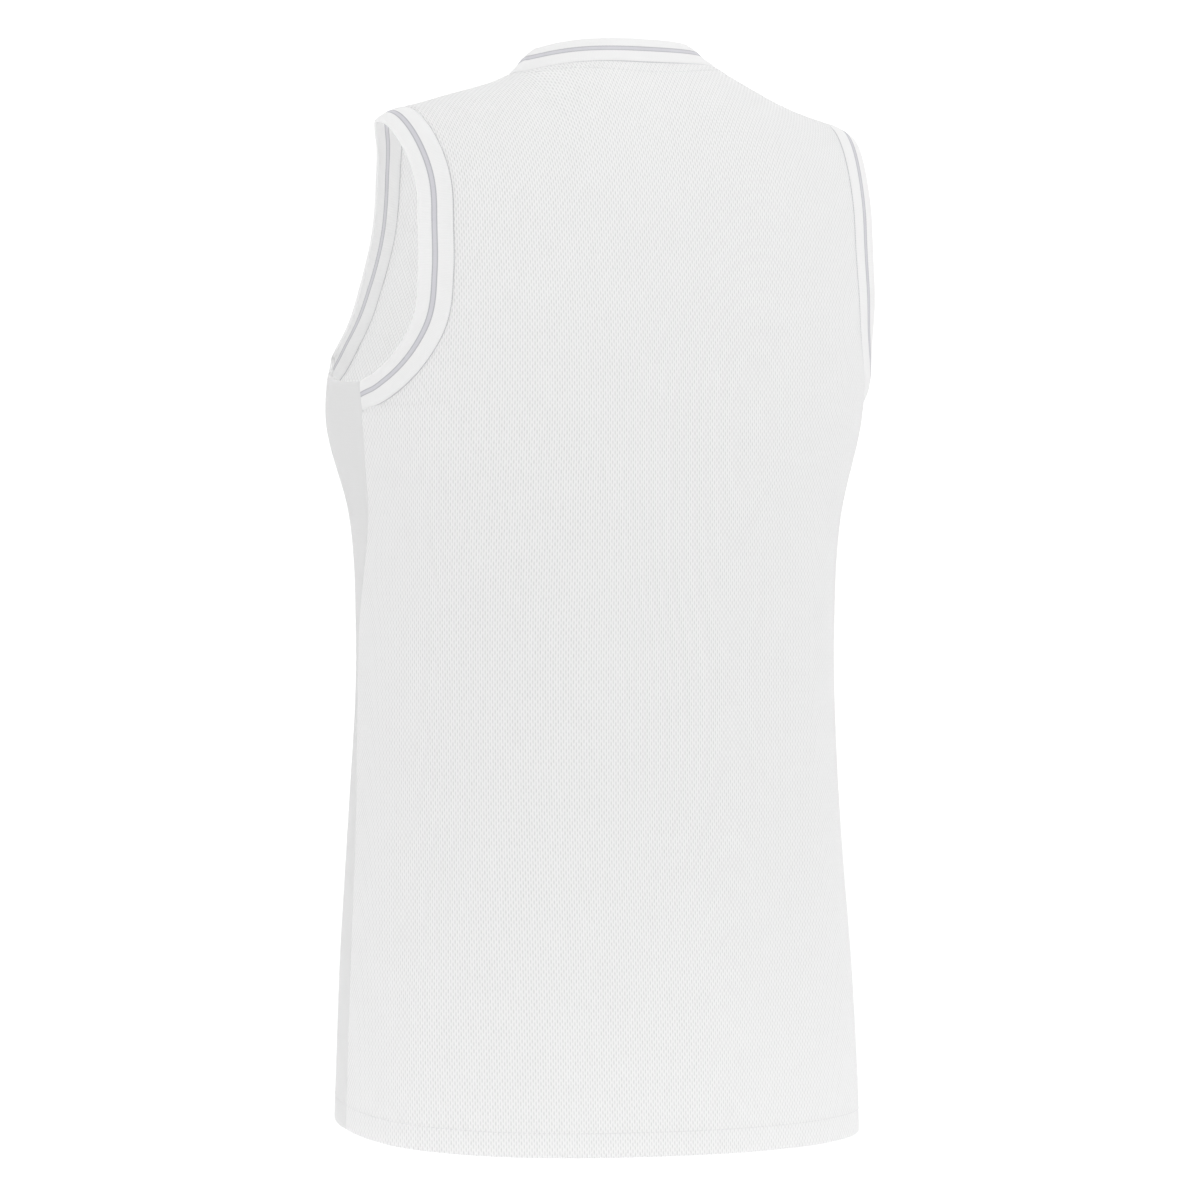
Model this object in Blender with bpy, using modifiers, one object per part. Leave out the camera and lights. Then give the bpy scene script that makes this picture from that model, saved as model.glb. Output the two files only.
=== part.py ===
"""A sleeveless basketball jersey in a women's cut, hollow as it is worn, with nobody in it.

Seven pieces: a back and a front of mesh cloth, a smooth panel down each side, and rib trim round
the neck and the armholes.  The cloth hangs on a plain figure made of level sections.  Above the
armpits it rounds over towards the shoulder line.

The wearer faces -Y with the left arm at +X.  The origin lies between the two high points of the
shoulders, where the jersey hangs.  Lengths are in millimetres until a mesh is made.
"""
from collections import namedtuple
import math

import bpy
import numpy as np

MM = 0.001

# --- Cut of the garment -------------------------------------------------------------------
NECK_HALF_WIDTH = 70.0
BACK_NECK_DROP = 1.0
FRONT_NECK_DROP = 92.0
SHOULDER_HALF_WIDTH = 150.0
SHOULDER_SLOPE_AT_NECK = 0.50
SHOULDER_SLOPE_AT_TIP = 0.22
SHOULDER_SWEEP = 12.0  # the shoulder line would meet this far forward of the origin
HEM_HEIGHT = -672.0  # at the centre of the back
HEM_RISE = 0.05  # the hem climbs towards the front: this slope behind, and more as it goes
HEM_RISE_GROWTH = 0.00034
TRIM_WIDTH = 22.0
BACK_CORNER = -216.5  # where the armhole seam meets the side panel
FRONT_CORNER = -207.0
CORNER_TO_TOP_EDGE = 18.5  # the side panel runs on past the corner, along the end of the trim
TOP_EDGE_SAG = 3.0

# --- Cloth ----------------------------------------------------------------------------------
CLOTH = 1.2
TRIM = 2.0
SEAM_GAP = 0.3
SHOULDER_GAP = 0.6  # wider, because the two walls lean together under the shoulder's fold

# --- The figure's level sections, from the hem up --------------------------------------------
# back_y, side_y and front_y are where the section's middle back, widest points and middle front
# lie.  A square of 2 is an ellipse, and more is flatter with fuller corners.
Section = namedtuple("Section", "height half_width back_y side_y front_y back_square front_square")
SECTIONS = (
    Section(-700, 174, 100, -24, -143, 2.2, 2.2),
    Section(-560, 168, 94, -24, -139, 2.2, 2.2),
    Section(-450, 160, 89, -24, -136, 2.2, 2.2),
    Section(-360, 157, 88, -24, -132, 2.2, 2.2),
    Section(-280, 160, 90, -24, -131, 2.3, 2.4),
    Section(-214, 176, 90, -24, -116, 2.4, 3.0),
    Section(-185, 177, 89, -19, -104, 2.4, 3.0),
    Section(-150, 174, 86, -7, -86, 2.5, 2.6),
    Section(-100, 168, 80, 4, -61, 2.5, 2.5),
    Section(-50, 167, 76, 4, -50, 2.5, 2.5),
    Section(40, 167, 76, 4, -50, 2.5, 2.5),
)

# --- Seams of the side panel: the angle round the body from the middle of the back ------------
SideSeam = namedtuple("SideSeam", "height back_angle front_angle")
SIDE_SEAMS = (
    SideSeam(-700, 94, 130),
    SideSeam(-560, 95.5, 127),
    SideSeam(-460, 98.5, 125),
    SideSeam(-360, 101.5, 124),
    SideSeam(-270, 91, 115),
    SideSeam(-214, 85, 107),
    SideSeam(-180, 88, 106),
)

# --- Armhole seam: half the width across the body between the two armholes --------------------
Armhole = namedtuple("Armhole", "height across_back across_front")
ARMHOLE = (
    Armhole(-206, 168, 163),
    Armhole(-191, 159, 149),
    Armhole(-170, 150, 140),
    Armhole(-133, 145, 135.5),
    Armhole(-100, 144, 134.5),
    Armhole(-70, 144, 137),
    Armhole(-45, 147, 142),
)

SEAM_ROW_SPACING = 5.0  # a row of the table nearer than this to a corner gives way to it

# --- Shoulder rounding: how far below the shoulder line the cloth hangs upright ----------------
ROUNDING_AT_NECK = 115.0
ROUNDING_AT_TIP = 65.0

# --- How the trim bends inwards from the cloth, across its whole width (degrees) ---------------
NECK_TRIM_BEND = -9.0
TrimBend = namedtuple("TrimBend", "height back front")
ARMHOLE_TRIM_BEND = (
    TrimBend(-205, -4, 0),
    TrimBend(-150, -12, 0),
    TrimBend(-90, -12, 0),
    TrimBend(-50, 2, 6),
    TrimBend(-27, 16, 16),
)

# --- How it hangs: the neck lies a little lower on the left ------------------------------------
NECK_TILT = 3.4
NECK_TILT_REACH = 0.7  # of the shoulder seam

# --- Mesh: how many steps each way -----------------------------------------------------------
NECK_STEPS = 7
SHOULDER_STEPS = 5
BODY_ROWS = 15
ARMHOLE_ROWS = 16
SIDE_STEPS = 6
TRIM_STEPS = 4
NECK_EVENING_ROUNDS = 5
ARMHOLE_EVENING_ROUNDS = 3
END_BLEND = 30.0  # the trim's crosswise lines swing round to its cut ends over this length
CROWDING = 2.0  # the rows above the armpits draw together towards the shoulder seam
NECK_CROWDING = 1.3  # and less so under the front neck, where they have less way to go
NECK_CROWDING_DROP = 60.0  # for a top edge at least this far below the shoulder line
EVEN_START = 0.6  # the row spacing at the armpits matches that of the rows below
FINE_STEPS = 200  # for measuring lengths along a curve
SETTLING_ROUNDS = 8  # for finding where two curves meet

BACK = 1
FRONT = -1
MIRROR = np.array([-1, 1, 1])


def curve_through(table, column, height):
    """The value of a table's column at a height, on a smooth curve through its rows."""
    heights = np.array([row.height for row in table], float)
    values = np.array([getattr(row, column) for row in table], float)
    slopes = np.gradient(values, heights)
    height = np.clip(height, heights[0], heights[-1])
    after = np.clip(np.searchsorted(heights, height), 1, len(heights) - 1)
    before = after - 1
    span = heights[after] - heights[before]
    t = (height - heights[before]) / span
    return (
        values[before] * (1 + 2 * t) * (1 - t) ** 2
        + values[after] * t**2 * (3 - 2 * t)
        + slopes[before] * span * t * (1 - t) ** 2
        - slopes[after] * span * t**2 * (1 - t)
    )


def smooth_step(t):
    t = np.clip(t, 0.0, 1.0)
    return t * t * (3 - 2 * t)


def depth_and_square(height, facing):
    """How far the section reaches to the back or the front of its widest points, and its square."""
    side_y = curve_through(SECTIONS, "side_y", height)
    if facing == BACK:
        return (
            curve_through(SECTIONS, "back_y", height) - side_y,
            curve_through(SECTIONS, "back_square", height),
        )
    return (
        side_y - curve_through(SECTIONS, "front_y", height),
        curve_through(SECTIONS, "front_square", height),
    )


def body_point(angle, height):
    """A point of the figure at an angle from the middle back, round towards +X, at a height."""
    angle, height = np.broadcast_arrays(np.asarray(angle, float), np.asarray(height, float))
    half_width = curve_through(SECTIONS, "half_width", height)
    behind = np.cos(angle) >= 0
    back_depth, back_square = depth_and_square(height, BACK)
    front_depth, front_square = depth_and_square(height, FRONT)
    depth = np.where(behind, back_depth, front_depth)
    square = np.where(behind, back_square, front_square)
    across = np.abs(np.sin(angle)) / half_width
    along = np.abs(np.cos(angle)) / depth
    radius = (across**square + along**square) ** (-1 / square)
    side_y = curve_through(SECTIONS, "side_y", height)
    return np.stack([radius * np.sin(angle), side_y + radius * np.cos(angle), height], axis=-1)


def shoulder_line(x):
    """Height of the line over the shoulders, and of the low arch that joins them over the neck."""
    out = np.abs(x) - NECK_HALF_WIDTH
    length = SHOULDER_HALF_WIDTH - NECK_HALF_WIDTH
    flattening = (SHOULDER_SLOPE_AT_NECK - SHOULDER_SLOPE_AT_TIP) / (2 * length)
    shoulder = -SHOULDER_SLOPE_AT_NECK * out + flattening * out**2
    arch = SHOULDER_SLOPE_AT_NECK * (NECK_HALF_WIDTH**2 - x**2) / (2 * NECK_HALF_WIDTH)
    return np.where(out > 0, shoulder, arch)


def upper_point(x, height, facing):
    """A point above the armpits, where the cloth rounds over to the shoulder line at y = 0."""
    depth, square = depth_and_square(height, facing)
    half_width = curve_through(SECTIONS, "half_width", height)
    side_y = curve_through(SECTIONS, "side_y", height)
    inside = np.clip(1 - (np.abs(x) / half_width) ** square, 1e-6, 1)
    full_y = side_y + facing * depth * inside ** (1 / square)
    share_out = np.clip(np.abs(x) / SHOULDER_HALF_WIDTH, 0, 1)
    rounding = ROUNDING_AT_NECK + (ROUNDING_AT_TIP - ROUNDING_AT_NECK) * share_out
    below = np.clip((shoulder_line(x) - height) / rounding, 0, 1)
    share = np.sqrt(1 - (1 - below) ** 2)
    ridge_y = -SHOULDER_SWEEP * (1 - share_out)
    return np.stack([x, ridge_y + (full_y - ridge_y) * share, height], axis=-1)


def hem_height(angle):
    """The hem is level across, and climbs towards the front."""
    back_y = curve_through(SECTIONS, "back_y", HEM_HEIGHT)
    forward = back_y - body_point(angle, HEM_HEIGHT)[..., 1]
    return HEM_HEIGHT + HEM_RISE * forward + HEM_RISE_GROWTH * forward**2


def seam_angle(height, facing):
    column = "back_angle" if facing == BACK else "front_angle"
    return np.radians(curve_through(SIDE_SEAMS, column, height))


def corner_height(facing):
    return BACK_CORNER if facing == BACK else FRONT_CORNER


def side_seam(facing):
    """The side panel's seam with the back or the front, from the hem to the armhole's corner."""
    bottom = HEM_HEIGHT
    for _ in range(SETTLING_ROUNDS):
        bottom = float(hem_height(seam_angle(bottom, facing)))
    heights = np.linspace(bottom, corner_height(facing), BODY_ROWS + 1)
    return seam_angle(heights, facing), heights


def even_angles(start, end, height, steps):
    """Angles that part a stretch of a level section into equal lengths."""
    fine = np.linspace(start, end, FINE_STEPS)
    points = body_point(fine, height)
    length = np.concatenate([[0], np.cumsum(np.linalg.norm(np.diff(points, axis=0), axis=1))])
    return np.interp(np.linspace(0, length[-1], steps + 1), length, fine)


def neckline(facing):
    """Points of the neck seam, evenly spaced from the middle to the high point of the shoulder."""
    drop = BACK_NECK_DROP if facing == BACK else FRONT_NECK_DROP
    turn = np.linspace(0, math.pi / 2, FINE_STEPS)
    x = NECK_HALF_WIDTH * np.sin(turn)
    z = -drop * np.cos(turn)
    points = upper_point(x, z, facing)
    length = np.concatenate([[0], np.cumsum(np.linalg.norm(np.diff(points, axis=0), axis=1))])
    even = np.linspace(0, length[-1], NECK_STEPS + 1)
    return np.interp(even, length, x), np.interp(even, length, z)


def armhole_half_width(height, facing):
    """Half the width between the armhole seams, from the corner up to the shoulder's tip."""
    column = "across_back" if facing == BACK else "across_front"
    corner = corner_height(facing)
    corner_x = float(body_point(seam_angle(corner, facing), corner)[0])
    tip = float(shoulder_line(SHOULDER_HALF_WIDTH))
    row = namedtuple("row", ["height", column])
    rows = [row(corner, corner_x)]
    between = [entry for entry in ARMHOLE if entry.height > corner + SEAM_ROW_SPACING]
    rows += [row(entry.height, getattr(entry, column)) for entry in between]
    rows += [row(tip, SHOULDER_HALF_WIDTH)]
    return curve_through(rows, column, height)


def half_panel(facing):
    """Half of the back or the front as rows of points, from the hem up, middle to side."""
    steps = NECK_STEPS + SHOULDER_STEPS
    rows = []
    angles, heights = side_seam(facing)
    middle = 0.0 if facing == BACK else math.pi
    hem = hem_height(even_angles(middle, angles[0], heights[0], steps))
    for row, (edge_angle, edge_height) in enumerate(zip(angles, heights)):
        across = even_angles(middle, edge_angle, edge_height, steps)
        share = row / BODY_ROWS
        rows.append(body_point(across, hem + share * (corner_height(facing) - hem)))

    corner = corner_height(facing)
    corner_x = rows[-1][:, 0]
    neck_x, neck_z = neckline(facing)
    shoulder_x = np.linspace(NECK_HALF_WIDTH, SHOULDER_HALF_WIDTH, SHOULDER_STEPS + 1)
    top_x = np.concatenate([neck_x, shoulder_x[1:]])
    top_z = np.concatenate([neck_z, shoulder_line(shoulder_x[1:])])
    top_below = shoulder_line(top_x) - top_z
    full_below = shoulder_line(corner_x) - corner
    low_top = smooth_step(top_below / NECK_CROWDING_DROP)
    crowding = CROWDING + (NECK_CROWDING - CROWDING) * low_top
    for row in range(1, ARMHOLE_ROWS + 1):
        share = row / ARMHOLE_ROWS
        left_over = (1 - share) ** crowding * (1 + (crowding - EVEN_START) * share)
        below = top_below + (full_below - top_below) * left_over
        fraction = corner_x / corner_x[-1]
        fraction = fraction + (top_x / top_x[-1] - fraction) * smooth_step(share)
        edge_x = SHOULDER_HALF_WIDTH
        for _ in range(SETTLING_ROUNDS):
            edge_height = float(shoulder_line(edge_x)) - below[-1]
            edge_x = float(armhole_half_width(edge_height, facing))
        x = edge_x * fraction
        rows.append(upper_point(x, shoulder_line(x) - below, facing))
    return np.array(rows)


def side_panel_edge(facing):
    """One long edge of the side panel: the side seam, then along the end of the trim."""
    angles, heights = side_seam(facing)
    above = np.linspace(0, CORNER_TO_TOP_EDGE, TRIM_STEPS + 1)[1:] + corner_height(facing)
    return (
        np.concatenate([angles, seam_angle(above, facing)]),
        np.concatenate([heights, above]),
    )


def side_panel_rows():
    back_angles, back_heights = side_panel_edge(BACK)
    front_angles, front_heights = side_panel_edge(FRONT)
    share = np.linspace(0, 1, SIDE_STEPS + 1)
    rows = []
    for row in range(len(back_angles)):
        angle = back_angles[row] + (front_angles[row] - back_angles[row]) * share
        height = back_heights[row] + (front_heights[row] - back_heights[row]) * share
        if row == 0:
            height = hem_height(angle)
        sag = smooth_step((height - BACK_CORNER) / CORNER_TO_TOP_EDGE)
        height = height - TOP_EDGE_SAG * sag * 4 * share * (1 - share)
        rows.append(body_point(angle, height))
    return np.array(rows)


def unit(vectors):
    return vectors / np.linalg.norm(vectors, axis=-1, keepdims=True)


def upper_normal(points, facing):
    """The way outwards at points of the cloth above the armpits."""
    x, _, z = points.T
    z = np.minimum(z, shoulder_line(x) - 0.5)
    step = 0.01
    across = upper_point(x + step, z, facing) - upper_point(x - step, z, facing)
    down = upper_point(x, z - step, facing) - upper_point(x, z + step, facing)
    return facing * unit(np.cross(across, down))


def both_normals(back, front):
    """Normals along a seam that runs up the back and down the front, from both panels' own."""
    back_normals = upper_normal(back, BACK)
    front_normals = upper_normal(front, FRONT)
    shared = unit(back_normals[-1] + front_normals[-1])
    return np.concatenate([back_normals[:-1], shared[None], front_normals[-2::-1]])


def evened(directions, rounds):
    """Directions along a seam, each averaged with its neighbours so that the trim turns gently."""
    for _ in range(rounds):
        middle = (directions[:-2] + 2 * directions[1:-1] + directions[2:]) / 4
        directions = np.concatenate([directions[:1], middle, directions[-1:]])
    return unit(directions)


def trim_rows(edge, off, outward, bend, gap=SEAM_GAP):
    """Rows of points across the trim, which leaves the seam flat and bends inwards."""
    step = (TRIM_WIDTH - gap / 2) / TRIM_STEPS
    rows = [edge + off * gap / 2]
    for row in range(TRIM_STEPS):
        turn = np.radians(bend) * (row + 0.5) / TRIM_STEPS
        rows.append(rows[-1] + step * (np.cos(turn) * off - np.sin(turn) * outward))
    return np.array(rows)


def neck_trim():
    """Half of the neck's ring, from the middle back over the shoulder to the middle front."""
    back = half_panel(BACK)[-1, : NECK_STEPS + 1]
    front = half_panel(FRONT)[-1, : NECK_STEPS + 1]
    edge = np.concatenate([back, front[-2::-1]])
    outward = both_normals(back, front)
    outward[[0, -1], 0] = 0
    along = np.gradient(edge, axis=0)
    along[[0, -1], 1:] = 0
    off = evened(unit(np.cross(along, outward)), NECK_EVENING_ROUNDS)
    return trim_rows(edge, off, unit(outward), NECK_TRIM_BEND, gap=SHOULDER_GAP)


def armhole_trim():
    """The left armhole's trim, from the corner at the back over the shoulder to the front one."""
    back = half_panel(BACK)[BODY_ROWS:, -1]
    front = half_panel(FRONT)[BODY_ROWS:, -1]
    edge = np.concatenate([back, front[-2::-1]])
    outward = both_normals(back, front)
    off = evened(unit(np.cross(outward, np.gradient(edge, axis=0))), ARMHOLE_EVENING_ROUNDS)
    bend = np.concatenate(
        [
            curve_through(ARMHOLE_TRIM_BEND, "back", back[:, 2]),
            curve_through(ARMHOLE_TRIM_BEND, "front", front[-2::-1, 2]),
        ]
    )
    rows = trim_rows(edge, off, outward, bend[:, None])
    length = np.concatenate([[0], np.cumsum(np.linalg.norm(np.diff(edge, axis=0), axis=1))])
    for facing, distance in ((BACK, length), (FRONT, length[-1] - length)):
        panel_angles, panel_heights = side_panel_edge(facing)
        cut = body_point(panel_angles[BODY_ROWS:], panel_heights[BODY_ROWS:])
        sheared = edge[None] + (cut - cut[0])[:, None]
        regular = smooth_step(distance / END_BLEND)[None, :, None]
        rows = sheared * (1 - regular) + rows * regular
    rows[0] = edge + off * SEAM_GAP / 2
    return rows


def both_halves(half):
    """A whole row of points from half of it, which starts at the middle."""
    return np.concatenate([(half * MIRROR)[:, :0:-1], half], axis=1)


def settle(rows):
    """Tilt the neck as it hangs, fading out towards the armholes and down the chest."""
    x, z = rows[..., 0], rows[..., 2]
    out = (np.abs(x) - NECK_HALF_WIDTH) / (SHOULDER_HALF_WIDTH - NECK_HALF_WIDTH)
    near_neck = 1 - smooth_step(out / NECK_TILT_REACH)
    high_up = smooth_step((z - FRONT_CORNER) / -FRONT_CORNER)
    lower = NECK_TILT * np.clip(x / NECK_HALF_WIDTH, -1, 1) * near_neck * high_up
    return rows - np.stack([0 * lower, 0 * lower, lower], axis=-1)


def drawn_in(edge, inside, gap):
    """An edge moved back over the cloth, square to itself, by half a gap."""
    along = unit(np.gradient(edge, axis=0))
    back = inside - edge
    back = unit(back - (back * along).sum(axis=-1, keepdims=True) * along)
    return edge + back * gap / 2


def pull_back(rows, top_gap=0.0, first_column=False, last_column=False):
    """Move a grid's chosen edges back along the cloth, to leave the seams their gap."""
    moved = rows.copy()
    if top_gap:
        moved[-1] = drawn_in(rows[-1], rows[-2], top_gap)
    if last_column:
        moved[:, -1] += drawn_in(rows[:, -1], rows[:, -2], SEAM_GAP) - rows[:, -1]
    if first_column:
        moved[:, 0] += drawn_in(rows[:, 0], rows[:, 1], SEAM_GAP) - rows[:, 0]
    return moved


def cloth_material(name, colour, roughness):
    material = bpy.data.materials.new(name)
    material.use_nodes = True
    shader = material.node_tree.nodes["Principled BSDF"]
    shader.inputs["Base Color"].default_value = (*colour, 1.0)
    shader.inputs["Roughness"].default_value = roughness
    shader.inputs["Metallic"].default_value = 0.0
    return material


def add_cloth(collection, name, rows, thickness, material, turned=False, ring=False):
    """Make a node from rows of points: an open sheet, given its thickness on the inside.

    turned is for rows that run the other way round the body, and a ring joins up with itself.
    """
    count, width = rows.shape[:2]
    faces = []
    for row in range(count - 1):
        for column in range(width if ring else width - 1):
            beside = (column + 1) % width
            face = (
                row * width + beside,
                row * width + column,
                (row + 1) * width + column,
                (row + 1) * width + beside,
            )
            faces.append(face[::-1] if turned else face)
    mesh = bpy.data.meshes.new(name)
    mesh.from_pydata((settle(rows).reshape(-1, 3) * MM).tolist(), [], faces)
    mesh.materials.append(material)
    mesh.shade_smooth()
    cloth = bpy.data.objects.new(name, mesh)
    collection.objects.link(cloth)
    wall = cloth.modifiers.new("cloth", "SOLIDIFY")
    wall.thickness = thickness * MM
    wall.offset = -1
    return cloth


def main():
    for leftover in list(bpy.data.objects):
        bpy.data.objects.remove(leftover)
    jersey = bpy.data.collections.new("basketball_jersey")
    bpy.context.scene.collection.children.link(jersey)
    mesh_knit = cloth_material("white birdseye mesh", (0.86, 0.86, 0.87), 0.85)
    smooth_knit = cloth_material("white smooth knit", (0.80, 0.80, 0.81), 0.80)
    rib = cloth_material("white rib trim", (0.88, 0.88, 0.89), 0.85)

    back = both_halves(pull_back(half_panel(BACK), top_gap=SHOULDER_GAP, last_column=True))
    front = both_halves(pull_back(half_panel(FRONT), top_gap=SHOULDER_GAP, last_column=True))
    side = pull_back(side_panel_rows(), first_column=True, last_column=True)
    armhole = pull_back(armhole_trim(), first_column=True, last_column=True)
    neck = both_halves(neck_trim())[:, 1:]

    add_cloth(jersey, "back_panel", back, CLOTH, mesh_knit)
    add_cloth(jersey, "front_panel", front, CLOTH, mesh_knit, turned=True)
    add_cloth(jersey, "side_panel_left", side, CLOTH, smooth_knit, turned=True)
    add_cloth(jersey, "side_panel_right", side * MIRROR, CLOTH, smooth_knit)
    add_cloth(jersey, "neck_band", neck, TRIM, rib, ring=True)
    add_cloth(jersey, "armhole_band_left", armhole, TRIM, rib, turned=True)
    add_cloth(jersey, "armhole_band_right", armhole * MIRROR, TRIM, rib)


main()
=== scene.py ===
# %% [markdown]
# # A basketball jersey
#
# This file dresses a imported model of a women's basketball jersey.  The photograph shows it from
# behind, a little from its left side, with the cloth in the rounded shape that it has in use.
# So it is built in that shape, hollow, with the neck, the hem and both armholes open.
#
# The cloth is white on white under soft light.  What tells the eye that it is a real jersey is
# small: the rows of holes in the birdseye mesh, the grooves where pieces are sewn together, the
# round folded edges of the rib trim and the grey stripe knitted into it.  So most of the work is
# in thin shells with good edges, and in materials measured in millimetres.

# %% Load the frame
import math

import bmesh
import bpy
import numpy as np
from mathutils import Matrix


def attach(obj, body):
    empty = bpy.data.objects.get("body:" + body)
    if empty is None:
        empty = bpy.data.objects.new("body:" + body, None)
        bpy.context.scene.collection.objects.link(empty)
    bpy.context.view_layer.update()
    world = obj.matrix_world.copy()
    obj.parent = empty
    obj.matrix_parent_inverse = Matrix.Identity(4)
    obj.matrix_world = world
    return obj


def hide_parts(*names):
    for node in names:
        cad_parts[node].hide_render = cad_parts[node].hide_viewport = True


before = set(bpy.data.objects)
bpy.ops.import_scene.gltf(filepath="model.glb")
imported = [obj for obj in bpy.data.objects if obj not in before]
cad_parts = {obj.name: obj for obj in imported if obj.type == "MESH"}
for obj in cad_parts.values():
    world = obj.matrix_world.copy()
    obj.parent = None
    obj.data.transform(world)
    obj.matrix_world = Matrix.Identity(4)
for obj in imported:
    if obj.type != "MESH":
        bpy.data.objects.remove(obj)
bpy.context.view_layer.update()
print("nodes:", sorted(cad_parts))

# %% [markdown]
# ## The camera
#
# The photograph was taken from far away with a long lens, level, behind the jersey's left
# shoulder.  The jersey fills the frame, and its middle is a little off the middle of the picture,
# so the camera stays level and its lens is shifted, as on a view camera.

# %% Camera
MM = 0.001
PICTURE = 1200  # pixels each way
SENSOR = 36.0
BEHIND = math.radians(30)  # how far round from straight behind, towards the jersey's left side
DISTANCE = 4200.0
EYE_LEVEL = -318.0
FIELD = 750.0  # how much fits across the picture, at the jersey
CENTRE_PX = (616, 577)  # where the lens looks straight ahead

lens = bpy.data.cameras.new("camera")
lens.sensor_width = SENSOR
lens.lens = SENSOR * DISTANCE / FIELD
lens.shift_x = (PICTURE / 2 - CENTRE_PX[0]) / PICTURE
lens.shift_y = (CENTRE_PX[1] - PICTURE / 2) / PICTURE
lens.clip_end = 50.0
camera = bpy.data.objects.new("camera", lens)
camera.location = (
    DISTANCE * math.sin(BEHIND) * MM,
    DISTANCE * math.cos(BEHIND) * MM,
    EYE_LEVEL * MM,
)
camera.rotation_euler = (math.pi / 2, 0, math.pi - BEHIND)
bpy.context.scene.collection.objects.link(camera)
bpy.context.scene.camera = camera
print(f"lens {lens.lens:.1f} mm, shift {lens.shift_x:.4f}, {lens.shift_y:.4f}")

# %% [markdown]
# ## The cut of the jersey
#
# A jersey is cut from flat pieces, but in use it takes the shape of a body.  A plain figure made
# of level sections gives that shape: each section is a rounded box, as wide and as deep as the
# body is at that height.  The seams are lines drawn on the figure, and each piece of cloth is the
# part of the surface between its seams.
#
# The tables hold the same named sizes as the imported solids, in millimetres.  The origin lies
# between the high points of the shoulders, +X is the jersey's left side, and its front is at -Y.

# %% Named sizes
from collections import namedtuple

NECK_HALF_WIDTH = 70.0
BACK_NECK_DROP = 1.0
FRONT_NECK_DROP = 92.0
SHOULDER_HALF_WIDTH = 150.0
SHOULDER_SLOPE_AT_NECK = 0.50
SHOULDER_SLOPE_AT_TIP = 0.22
SHOULDER_SWEEP = 12.0
HEM_HEIGHT = -672.0
HEM_RISE = 0.05
HEM_RISE_GROWTH = 0.00034
TRIM_WIDTH = 22.0
BACK_CORNER = -216.5
FRONT_CORNER = -207.0
CORNER_TO_TOP_EDGE = 18.5
TOP_EDGE_SAG = 3.0
ROUNDING_AT_NECK = 115.0
ROUNDING_AT_TIP = 65.0
NECK_TRIM_BEND = -9.0
NECK_TILT = 3.4
NECK_TILT_REACH = 0.7
SEAM_ROW_SPACING = 5.0
END_BLEND = 30.0
BACK = 1
FRONT = -1
MIRROR = np.array([-1, 1, 1])

Section = namedtuple("Section", "height half_width back_y side_y front_y back_square front_square")
SECTIONS = (
    Section(-700, 174, 100, -24, -143, 2.2, 2.2),
    Section(-560, 168, 94, -24, -139, 2.2, 2.2),
    Section(-450, 160, 89, -24, -136, 2.2, 2.2),
    Section(-360, 157, 88, -24, -132, 2.2, 2.2),
    Section(-280, 160, 90, -24, -131, 2.3, 2.4),
    Section(-214, 176, 90, -24, -116, 2.4, 3.0),
    Section(-185, 177, 89, -19, -104, 2.4, 3.0),
    Section(-150, 174, 86, -7, -86, 2.5, 2.6),
    Section(-100, 168, 80, 4, -61, 2.5, 2.5),
    Section(-50, 167, 76, 4, -50, 2.5, 2.5),
    Section(40, 167, 76, 4, -50, 2.5, 2.5),
)
SideSeam = namedtuple("SideSeam", "height back_angle front_angle")
SIDE_SEAMS = (
    SideSeam(-700, 94, 130),
    SideSeam(-560, 95.5, 127),
    SideSeam(-460, 98.5, 125),
    SideSeam(-360, 101.5, 124),
    SideSeam(-270, 91, 115),
    SideSeam(-214, 85, 107),
    SideSeam(-180, 88, 106),
)
Armhole = namedtuple("Armhole", "height across_back across_front")
ARMHOLE = (
    Armhole(-206, 168, 163),
    Armhole(-191, 159, 149),
    Armhole(-170, 150, 140),
    Armhole(-133, 145, 135.5),
    Armhole(-100, 144, 134.5),
    Armhole(-70, 144, 137),
    Armhole(-45, 147, 142),
)
TrimBend = namedtuple("TrimBend", "height back front")
ARMHOLE_TRIM_BEND = (
    TrimBend(-205, -4, 0),
    TrimBend(-150, -12, 0),
    TrimBend(-90, -12, 0),
    TrimBend(-50, 2, 6),
    TrimBend(-27, 16, 16),
)
print(f"{len(SECTIONS)} sections, from {SECTIONS[0].height} to {SECTIONS[-1].height} mm")

# %% [markdown]
# ## Curves and the figure's surface
#
# Reading a table between its rows needs a smooth curve, or every row would show as a crease.
# These few functions give the curve, a point of a section at any angle round the body, and the
# way the cloth rounds over to the shoulder line above the armpits.

# %% The figure


def curve_through(table, column, height):
    """The value of a table's column at a height, on a smooth curve through its rows."""
    heights = np.array([row.height for row in table], float)
    values = np.array([getattr(row, column) for row in table], float)
    slopes = np.gradient(values, heights)
    height = np.clip(height, heights[0], heights[-1])
    after = np.clip(np.searchsorted(heights, height), 1, len(heights) - 1)
    before = after - 1
    span = heights[after] - heights[before]
    t = (height - heights[before]) / span
    return (
        values[before] * (1 + 2 * t) * (1 - t) ** 2
        + values[after] * t**2 * (3 - 2 * t)
        + slopes[before] * span * t * (1 - t) ** 2
        - slopes[after] * span * t**2 * (1 - t)
    )


def smooth_step(t):
    t = np.clip(t, 0.0, 1.0)
    return t * t * (3 - 2 * t)


def unit(vectors):
    return vectors / np.linalg.norm(vectors, axis=-1, keepdims=True)


def running_length(points):
    """The length along a line of points, up to each of them."""
    steps = np.linalg.norm(np.diff(points, axis=0), axis=-1)
    return np.concatenate([np.zeros((1, *steps.shape[1:])), np.cumsum(steps, axis=0)])


def depth_and_square(height, facing):
    side_y = curve_through(SECTIONS, "side_y", height)
    name = "back" if facing == BACK else "front"
    far_y = curve_through(SECTIONS, name + "_y", height)
    return facing * (far_y - side_y), curve_through(SECTIONS, name + "_square", height)


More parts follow.
